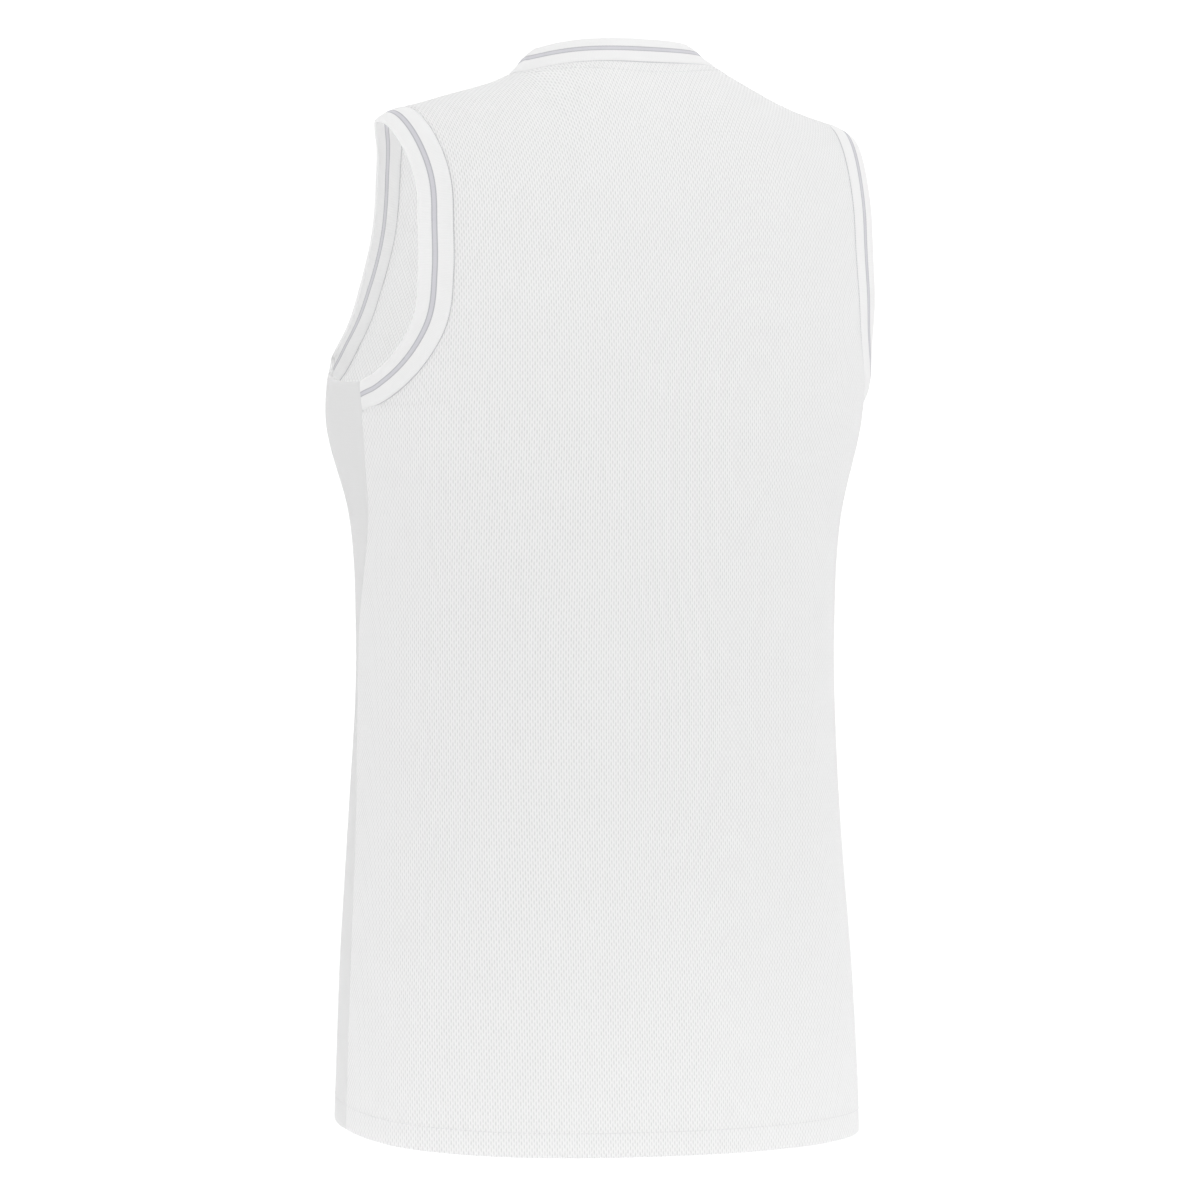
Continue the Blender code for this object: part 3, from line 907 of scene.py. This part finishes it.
def holes(tree, place, shift):
    """1 in the middle of each hole of one set of rows and 0 outside, shifted by part of a cell."""
    pitch = (1 / HOLE_PITCH_ACROSS, 1 / HOLE_PITCH_UP, 0)
    size = (2 * HOLE_PITCH_ACROSS / HOLE_WIDTH, 2 * HOLE_PITCH_UP / HOLE_HEIGHT, 0)
    steps = (("MULTIPLY", pitch), ("ADD", shift), ("FRACTION", None))
    steps += (("SUBTRACT", (0.5, 0.5, 0)), ("MULTIPLY", size))
    vector = place
    for operation, value in steps:
        sockets = {0: vector} if value is None else {0: vector, 1: value}
        vector = add_node(tree, "ShaderNodeVectorMath", sockets, operation=operation).outputs[0]
    far = add_node(tree, "ShaderNodeVectorMath", {0: vector}, operation="LENGTH").outputs["Value"]
    span = {"Value": far, "From Min": 0.3, "From Max": 1.2, "To Min": 1.0, "To Max": 0.0}
    return add_node(
        tree, "ShaderNodeMapRange", span, interpolation_type="SMOOTHSTEP"
    ).outputs["Result"]


def wave(tree, along, pitch):
    """A wave from -1 to 1 that repeats at each pitch."""
    turns = add_node(tree, "ShaderNodeMath", {0: along, 1: 2 * math.pi / pitch}, operation="MULTIPLY")
    return add_node(tree, "ShaderNodeMath", {0: turns.outputs[0]}, operation="COSINE").outputs[0]


def uneven(tree, place, size, least, most):
    """Soft noise between two values, with patches of a size in millimetres."""
    noise = {"Vector": place, "Scale": 1 / size, "Detail": 3.0, "Roughness": 0.6}
    value = add_node(tree, "ShaderNodeTexNoise", noise, noise_dimensions="2D").outputs["Fac"]
    span = {"Value": value, "From Min": 0.35, "From Max": 0.65, "To Min": least, "To Max": most}
    return add_node(tree, "ShaderNodeMapRange", span).outputs["Result"]


mesh_knit, tree, place, across, up = new_cloth("white polyester birdseye mesh", 0.78, 0.05)
one_set = holes(tree, place, (0.0, 0.0, 0.0))
other_set = holes(tree, place, (0.5, 0.5, 0.0))
hole = add_node(tree, "ShaderNodeMath", {0: one_set, 1: other_set}, operation="MAXIMUM").outputs[0]
pulled = uneven(tree, place, UNEVEN_SIZE, UNEVEN_LEAST, 1.0)
hole = add_node(tree, "ShaderNodeMath", {0: hole, 1: pulled}, operation="MULTIPLY").outputs[0]
# the mesh's white, with painted shade in the holes
colour = add_node(
    tree,
    "ShaderNodeMix",
    {"Factor": hole, "A": linear(MESH_WHITE), "B": linear(HOLE_PAINTED_SHADE)},
    data_type="RGBA",
).outputs["Result"]
ridges = wave(tree, across, HOLE_PITCH_ACROSS / 2)
height = add_node(
    tree, "ShaderNodeMath", {0: ridges, 1: -0.3, 2: 0.3}, operation="MULTIPLY_ADD"
).outputs[0]
height = add_node(tree, "ShaderNodeMath", {0: height, 1: hole}, operation="SUBTRACT").outputs[0]
finish_cloth(tree, colour, height, relief=0.2 * MM, share_through=0.42)
print("holes to a square centimetre:", round(2 * 100 / (HOLE_PITCH_ACROSS * HOLE_PITCH_UP)))

# %% [markdown]
# ## Smooth knit
#
# The side panels are a closer, smoother knit whose loops stand in fine columns.  Their colour is
# painted a little greyer than the mesh as shade, for the many small shadows and few bright ridges
# of their surface, and darker still in the valleys between the loops.

# %% White smooth knit
KNIT_COLUMN = 1.1
KNIT_ROW = 0.9
smooth_knit, tree, place, across, up = new_cloth("white polyester smooth knit", 0.72, 0.05)
columns = wave(tree, across, KNIT_COLUMN)
rows = wave(tree, up, KNIT_ROW)
height = add_node(
    tree, "ShaderNodeMath", {0: rows, 1: 0.35, 2: columns}, operation="MULTIPLY_ADD"
).outputs[0]
span = {"Value": height, "From Min": -1.35, "From Max": 1.35, "To Min": 0.0, "To Max": 1.0}
painted_knit_shade = add_node(tree, "ShaderNodeMapRange", span).outputs["Result"]
# painted shade: greyer overall, and darker where the knit's columns and rows dip
colour = add_node(
    tree,
    "ShaderNodeMix",
    {"Factor": painted_knit_shade, "A": linear("#D3D3D3"), "B": linear("#DDDDDD")},
    data_type="RGBA",
).outputs["Result"]
finish_cloth(tree, colour, height, relief=0.05 * MM, share_through=0.42)
print("columns to a centimetre:", round(10 / KNIT_COLUMN, 1))

# %% [markdown]
# ## Rib with a stripe
#
# The trim is a flat-knitted rib: its ribs run across the strip, about a millimetre apart.  The
# grey stripe is knitted in, so its edges are stepped by the ribs and are a darker row of loops.
# Folded double, the rib lets little light through, so it is the whitest part.  Where it goes into
# its seam a thin dark line is painted on: partly the needle's row of holes, partly painted shade
# for the shadow in the groove between the two cloths.

# %% White rib with a grey stripe
RIB_PITCH = 1.05
STRIPE_START = 10.0
STRIPE_END = 13.6
STRIPE_EDGE = 0.55
STRIPE_TEETH = 0.12
RIB_WHITE = "#EEEEEE"
STRIPE_GREY = "#C3C2CA"
STRIPE_EDGE_GREY = "#96959F"
RIB_COLOURS_AND_SEAM_SHADE = (
    # distance across the trim, colour
    # the first two stops are a dark line at the seam: the needle's holes, and painted shade of its
    # groove
    (0.0, "#98979D"),
    (0.3, "#B9B8BD"),
    (0.7, RIB_WHITE),
    (STRIPE_START - 0.1, RIB_WHITE),
    (STRIPE_START + 0.1, STRIPE_EDGE_GREY),
    (STRIPE_START + STRIPE_EDGE, STRIPE_EDGE_GREY),
    (STRIPE_START + STRIPE_EDGE + 0.25, STRIPE_GREY),
    (STRIPE_END - STRIPE_EDGE - 0.25, STRIPE_GREY),
    (STRIPE_END - STRIPE_EDGE, STRIPE_EDGE_GREY),
    (STRIPE_END - 0.1, STRIPE_EDGE_GREY),
    (STRIPE_END + 0.1, RIB_WHITE),
)
rib_knit, tree, place, along, across = new_cloth(
    "white polyester rib with a grey stripe", 0.75, 0.08
)
ribs = wave(tree, along, RIB_PITCH)
stepped = add_node(
    tree, "ShaderNodeMath", {0: ribs, 1: STRIPE_TEETH, 2: across}, operation="MULTIPLY_ADD"
).outputs[0]
share = add_node(
    tree, "ShaderNodeMath", {0: stepped, 1: 1 / TRIM_WIDTH}, operation="MULTIPLY"
).outputs[0]
ramp = add_node(tree, "ShaderNodeValToRGB", {"Fac": share})
stops = ramp.color_ramp.elements
while len(stops) < len(RIB_COLOURS_AND_SEAM_SHADE):
    stops.new(0.5)
for stop, (at, hex_code) in zip(stops, RIB_COLOURS_AND_SEAM_SHADE):
    stop.position = at / TRIM_WIDTH
    stop.color = linear(hex_code)
# painted shade: the colour is a little darker in the valleys between the ribs
rib_valley_painted_shade = {"Value": ribs, "From Min": -1.0, "From Max": 1.0, "To Min": 0.955, "To Max": 1.0}
depth = add_node(tree, "ShaderNodeMapRange", rib_valley_painted_shade).outputs["Result"]
colour = add_node(
    tree, "ShaderNodeVectorMath", {0: ramp.outputs["Color"], 1: depth}, operation="MULTIPLY"
).outputs[0]
finish_cloth(tree, colour, ribs, relief=0.06 * MM, share_through=0.3)
print("stripe", round(STRIPE_END - STRIPE_START, 1), "mm wide, ribs every", RIB_PITCH, "mm")

# %% Sewing thread
thread_white = bpy.data.materials.new("white polyester sewing thread")
thread_white.use_nodes = True
tree = thread_white.node_tree
shader = tree.nodes["Principled BSDF"]
shader.inputs["Roughness"].default_value = 0.45
shader.inputs["IOR"].default_value = 1.58
ply = add_node(
    tree,
    "ShaderNodeTexWave",
    {"Vector": add_node(tree, "ShaderNodeTexCoord").outputs["Object"], "Scale": 900.0},
    bands_direction="DIAGONAL",
)
ply_colour = add_node(
    tree,
    "ShaderNodeMix",
    {"Factor": ply.outputs["Fac"], "A": linear("#DADADC"), "B": linear("#EDEDEE")},
    data_type="RGBA",
)
tree.links.new(ply_colour.outputs["Result"], shader.inputs["Base Color"])
print("thread: the two plies show as a slanting stripe")

# %% [markdown]
# ## The panels
#
# The back and the front are turned into all their seams and folded round at the hem.  The hem is
# folded inwards and stitched 15 mm up, which shows outside as a faint groove.  The neck seam is
# topstitched 9.5 mm below the trim.  Along the seams the cloth's own allowance lies inside.

# %% Back and front
SPACING = 4.6
GROOVE_FADE = 4.0  # the neck's groove ends over this width, at the shoulders


def inside_of(grid, seams):
    """How far in the inner side lies: thicker over the hem and over the seam allowances."""
    over_hem = 1 - smooth_step((grid["bottom"] - HEM_WIDTH) / STEP_WIDTH)
    depth = -PANEL_CLOTH - (HEM_CLOTH - PANEL_CLOTH) * over_hem
    for seam in seams:
        depth -= ALLOWANCE_CLOTH * (1 - smooth_step((grid[seam] - ALLOWANCE) / ALLOWANCE_STEP_WIDTH))
    return depth


def panel(name, half, facing):
    grid = refined(
        both_halves(half),
        both_cuts(panel_cut(half, facing)),
        across=(SEAM_DISTANCES, SEAM_DISTANCES),
        up=(HEM_DISTANCES, NECK_DISTANCES),
        spacing=SPACING,
        facing=facing,
    )
    dips = seam_dip(grid["left"]) + seam_dip(grid["right"]) + seam_dip(grid["top"])
    outer = np.maximum(dips, -SEAM_SINK) + groove(grid["bottom"], HEM_WIDTH, HEM_GROOVE)
    from_neck = np.abs(grid["points"][..., 0]) - NECK_HALF_WIDTH
    at_neck = 1 - smooth_step(from_neck / GROOVE_FADE + 0.5)
    outer += groove(grid["top"], NECK_STITCH_IN, NECK_GROOVE) * at_neck
    inner = np.minimum(inside_of(grid, ("left", "right", "top")), outer - LEAST_CLOTH)
    outer, inner = rounded(outer, inner, grid["bottom"])
    grid["outer"] = outer
    return shell(name, grid, outer, inner, mesh_knit), grid


cloth_back, back_grid = panel("cloth_back", half_back, BACK)
cloth_front, front_grid = panel("cloth_front", half_front, FRONT)

# %% [markdown]
# ## The side panels
#
# Each side panel runs from the hem to its own plain top edge under the arm, which is folded over
# like the hem.

# %% Side panels
TOP_HEM = 8.0


def side_panel(name, rows):
    grid = refined(
        rows,
        strip_cut(rows),
        across=(SEAM_DISTANCES, SEAM_DISTANCES),
        up=(HEM_DISTANCES, HEM_DISTANCES[:8]),
        spacing=SPACING,
    )
    outer = np.maximum(seam_dip(grid["left"]) + seam_dip(grid["right"]), -SEAM_SINK)
    outer += groove(grid["bottom"], HEM_WIDTH, HEM_GROOVE)
    inner = np.minimum(inside_of(grid, ("left", "right")), outer - LEAST_CLOTH)
    inner -= (HEM_CLOTH - PANEL_CLOTH) * (1 - smooth_step((grid["top"] - TOP_HEM) / STEP_WIDTH))
    outer, inner = rounded(outer, inner, np.minimum(grid["bottom"], grid["top"]))
    grid["outer"] = outer
    return shell(name, grid, outer, inner, smooth_knit), grid


cloth_side_left, left_grid = side_panel("cloth_side_left", side_rows)
cloth_side_right, right_grid = side_panel("cloth_side_right", side_rows * MIRROR)

# %% [markdown]
# ## The trim
#
# The rib strip is folded double, so it is thick and its free edge is round.  It turns down into
# the seam on its other edge and is a little plump between the two.  The neck's strip goes on in
# the cloth's own direction and stands out most where the stripe is.  Under the arms the strip
# has more turn to make than its length allows, so it stands fuller there, and its edge comes a
# little nearer the seam.

# %% Neck and armhole trim
Plump = namedtuple("Plump", "height armhole underarm neck")  # height: distance across the trim
TRIM_PLUMP = (
    Plump(0, 0.0, 0.0, 0.0),
    Plump(4, 0.45, 1.8, 0.3),
    Plump(9, 0.7, 3.0, 0.2),
    Plump(14.2, 0.7, 2.8, 0.9),
    Plump(18, 0.5, 2.0, 0.8),
    Plump(22, 0.0, 0.6, 0.2),
)
UNDERARM_REACH = (25.0, 85.0)  # how far from the trim's ends it is full, and where that is over
DRAWN_IN = 0.13  # where it stands fuller, its edge comes this much of its width nearer the seam
TRIM_FREE_EDGE = (0, 0.08, 0.3, 0.6, 1.0, 1.8, 3.0)
TRIM_SPACING = 1.9
RING_OVERLAP = 4
LEAST_STRIP = 0.5  # the strip of faces that closes the ring is at least this wide


def closed(grid, rows):
    """Keep one turn of a ring that was sampled a little past its start and its end."""
    length = running_length(rows[0])
    start, end = length[RING_OVERLAP], length[-RING_OVERLAP - 1]
    end += np.linalg.norm(rows[0, -RING_OVERLAP] - rows[0, -RING_OVERLAP - 1])
    along = grid["cut"][0, :, 0]
    keep = (along >= start) & (along < end - LEAST_STRIP)
    kept = {name: value[:, keep] for name, value in grid.items() if name != "side"}
    kept["side"] = grid["side"]
    kept["period"] = end - start
    return kept


def neck_ring(name, rows):
    rows = np.concatenate([rows[:, -RING_OVERLAP:], rows, rows[:, :RING_OVERLAP]], axis=1)
    up = (SEAM_DISTANCES[:6], TRIM_FREE_EDGE)
    grid = closed(refined(rows, trim_cut(rows), ((0,), (0,)), up, TRIM_SPACING, True), rows)
    plump = curve_through(TRIM_PLUMP, "neck", grid["cut"][..., 1])
    outer, inner = rounded(seam_dip(grid["bottom"]) + plump, plump - TRIM_CLOTH, grid["top"])
    return shell(name, grid, outer, inner, rib_knit, ring=True), grid


def armhole_strip(name, rows):
    ends = SEAM_DISTANCES[:5]
    up = (SEAM_DISTANCES[:6], TRIM_FREE_EDGE)
    grid = refined(rows, trim_cut(rows), (ends, ends), up, TRIM_SPACING)
    from_end = np.minimum(grid["left"], grid["right"])
    full, over = UNDERARM_REACH
    fuller = 1 - smooth_step((from_end - full) / (over - full))
    fuller *= smooth_step(from_end / full)
    grid["points"] += (grid["points"][0] - grid["points"]) * DRAWN_IN * fuller[..., None]
    plain = curve_through(TRIM_PLUMP, "armhole", grid["cut"][..., 1])
    extra = curve_through(TRIM_PLUMP, "underarm", grid["cut"][..., 1]) - plain
    plump = plain + extra * fuller
    dip = seam_dip(grid["bottom"]) + seam_dip(grid["left"]) + seam_dip(grid["right"])
    outer = np.maximum(dip, -SEAM_SINK) + plump
    outer, inner = rounded(outer, plump - TRIM_CLOTH, grid["top"])
    return shell(name, grid, outer, inner, rib_knit), grid


band_neck, neck_grid = neck_ring("band_neck", neck_rows)
band_left, armhole_grid = armhole_strip("band_armhole_left", armhole_rows)
band_right, right_armhole_grid = armhole_strip("band_armhole_right", armhole_rows * MIRROR)

# %% [markdown]
# ## Stitching
#
# A lockstitch shows as short lengths of thread that come up out of the cloth, lie on it for two
# or three millimetres and go down again.  Each is modelled as a tiny bent rod with its ends in
# the cloth, because at this scale a drawn line would look printed on.  The neck's topstitching
# and the hem's stitching are laid in the grooves that were made for them.

# %% Rows of stitches
STITCH_PITCH = 3.0
STITCH_LENGTH = 2.3
THREAD_RADIUS = 0.2
STITCH_SHAPE = (-1.0, -0.75, 0.0, 0.75, 1.0)  # along the stitch, from end to end
STITCH_SIDES = 6
STITCH_DIVE = 2.5  # how far the ends go down into the cloth, in thread radii
END_THICKNESS = 0.5
GROOVE_END = 2.0  # the neck's stitches stop this far from the shoulder seam


def groove_line(grid, row):
    """The points of a groove on the outer side of a piece, and the way outwards there."""
    normals = grid["normals"][row]
    return grid["points"][row] + normals * grid["outer"][row][:, None], normals


def stitch_row(name, points, normals, on):
    """Rods along a line of points, joined into one piece that belongs to the piece it is on."""
    length = running_length(points)
    middle = np.arange(STITCH_PITCH, length[-1] - STITCH_PITCH, STITCH_PITCH)
    centre = np.stack([np.interp(middle, length, points[:, i]) for i in range(3)], axis=-1)
    outward = unit(np.stack([np.interp(middle, length, normals[:, i]) for i in range(3)], axis=-1))
    along = unit(np.gradient(centre, axis=0))
    beside = unit(np.cross(along, outward))
    shape = np.array(STITCH_SHAPE)
    lift = THREAD_RADIUS * (1 - STITCH_DIVE * shape**4)
    radius = THREAD_RADIUS * np.where(np.abs(shape) == 1, END_THICKNESS, 1.0)
    turn = np.arange(STITCH_SIDES) * 2 * math.pi / STITCH_SIDES
    spine = (
        centre[:, None]
        + along[:, None] * (shape * STITCH_LENGTH / 2)[None, :, None]
        + outward[:, None] * lift[None, :, None]
    )
    around = (
        beside[:, None, None] * np.cos(turn)[None, None, :, None]
        + outward[:, None, None] * np.sin(turn)[None, None, :, None]
    )
    rings = spine[:, :, None] + around * radius[None, :, None, None]
    one = len(shape) * STITCH_SIDES
    faces = []
    for ring in range(len(shape) - 1):
        for side in range(STITCH_SIDES):
            a, b = ring * STITCH_SIDES + side, ring * STITCH_SIDES + (side + 1) % STITCH_SIDES
            faces.append((a, b, b + STITCH_SIDES, a + STITCH_SIDES))
    caps = [tuple(range(STITCH_SIDES))[::-1], tuple(range(one - STITCH_SIDES, one))]
    every = []
    for stitch in range(len(centre)):
        every += [tuple(corner + stitch * one for corner in face) for face in faces + caps]
    mesh = bpy.data.meshes.new(name)
    mesh.from_pydata((rings.reshape(-1, 3) * MM).tolist(), [], every)
    mesh.materials.append(thread_white)
    mesh.shade_smooth()
    tidy = bmesh.new()
    tidy.from_mesh(mesh)
    bmesh.ops.recalc_face_normals(tidy, faces=tidy.faces)
    tidy.to_mesh(mesh)
    tidy.free()
    piece = bpy.data.objects.new(name, mesh)
    bpy.context.scene.collection.objects.link(piece)
    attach(piece, "root")
    with_stitches.setdefault(on, []).append(piece)
    print(f"{name}: {len(centre)} stitches")


with_stitches = {}
NECK_GROOVE_ROW = -1 - NECK_DISTANCES.index(NECK_STITCH_IN)
HEM_GROOVE_ROW = HEM_DISTANCES.index(HEM_WIDTH)
for side, grid in (("back", back_grid), ("front", front_grid)):
    line, outward = groove_line(grid, NECK_GROOVE_ROW)
    at_neck = np.abs(line[:, 0]) < NECK_HALF_WIDTH - GROOVE_END
    stitch_row(f"stitching_neck_{side}", line[at_neck], outward[at_neck], f"cloth_{side}")
    stitch_row(f"stitching_hem_{side}", *groove_line(grid, HEM_GROOVE_ROW), f"cloth_{side}")
for side, grid in (("side_left", left_grid), ("side_right", right_grid)):
    stitch_row(f"stitching_hem_{side}", *groove_line(grid, HEM_GROOVE_ROW), f"cloth_{side}")

# %% [markdown]
# ## Which piece stands for which solid
#
# Every piece takes the place of a imported solid of the same size, and that solid is hidden.

# %% Replace the plain solids
PIECES = (
    # piece, grid, solid, finish
    (cloth_back, back_grid, "back_panel", "mesh_knit"),
    (cloth_front, front_grid, "front_panel", "mesh_knit"),
    (cloth_side_left, left_grid, "side_panel_left", "smooth_knit"),
    (cloth_side_right, right_grid, "side_panel_right", "smooth_knit"),
    (band_neck, neck_grid, "neck_band", "rib_trim"),
    (band_left, armhole_grid, "armhole_band_left", "rib_trim"),
    (band_right, right_armhole_grid, "armhole_band_right", "rib_trim"),
)


for piece, grid, solid, finish in PIECES:
    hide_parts(solid)

# %% [markdown]
# ## Floor and light
#
# The jersey is white on white, so the light is soft and nearly even, as in a white tent.  The
# tent is the sky here: a little brighter on the jersey's right than on its left, so that the
# left side panel is a little darker.  The floor is far enough below to get no shadow, and
# bright enough to run into the background.

# %% Floor and sky
FLOOR_BELOW = -1050.0
FLOOR_SIZE = 30  # metres
bpy.ops.mesh.primitive_plane_add(size=FLOOR_SIZE, location=(0, 0, FLOOR_BELOW * MM))
floor = bpy.context.object
floor.name = "floor"
paint = bpy.data.materials.new("matt white floor paint")
paint.use_nodes = True
paint.node_tree.nodes["Principled BSDF"].inputs["Base Color"].default_value = linear("#FAFAFA")
paint.node_tree.nodes["Principled BSDF"].inputs["Roughness"].default_value = 0.9
floor.data.materials.append(paint)

SKY_MEAN = 1.12
SKY_SLOPE = 0.12
SKY_BRIGHT_SIDE = (-0.86, 0.2, 0.2)
sky = bpy.data.worlds.new("white tent")
sky.use_nodes = True
tree = sky.node_tree
direction = add_node(tree, "ShaderNodeTexCoord").outputs["Generated"]
towards = add_node(
    tree, "ShaderNodeVectorMath", {0: direction, 1: SKY_BRIGHT_SIDE}, operation="DOT_PRODUCT"
).outputs["Value"]
strength = add_node(
    tree, "ShaderNodeMath", {0: towards, 1: SKY_SLOPE, 2: SKY_MEAN}, operation="MULTIPLY_ADD"
).outputs[0]
tree.nodes["Background"].inputs["Color"].default_value = (1.0, 1.0, 1.0, 1.0)
tree.links.new(strength, tree.nodes["Background"].inputs["Strength"])
bpy.context.scene.world = sky
bpy.context.scene.view_settings.view_transform = "Standard"
bpy.context.scene.view_settings.look = "None"
swing = SKY_SLOPE * math.hypot(*SKY_BRIGHT_SIDE)
print(f"sky from {SKY_MEAN - swing:.2f} to {SKY_MEAN + swing:.2f}")
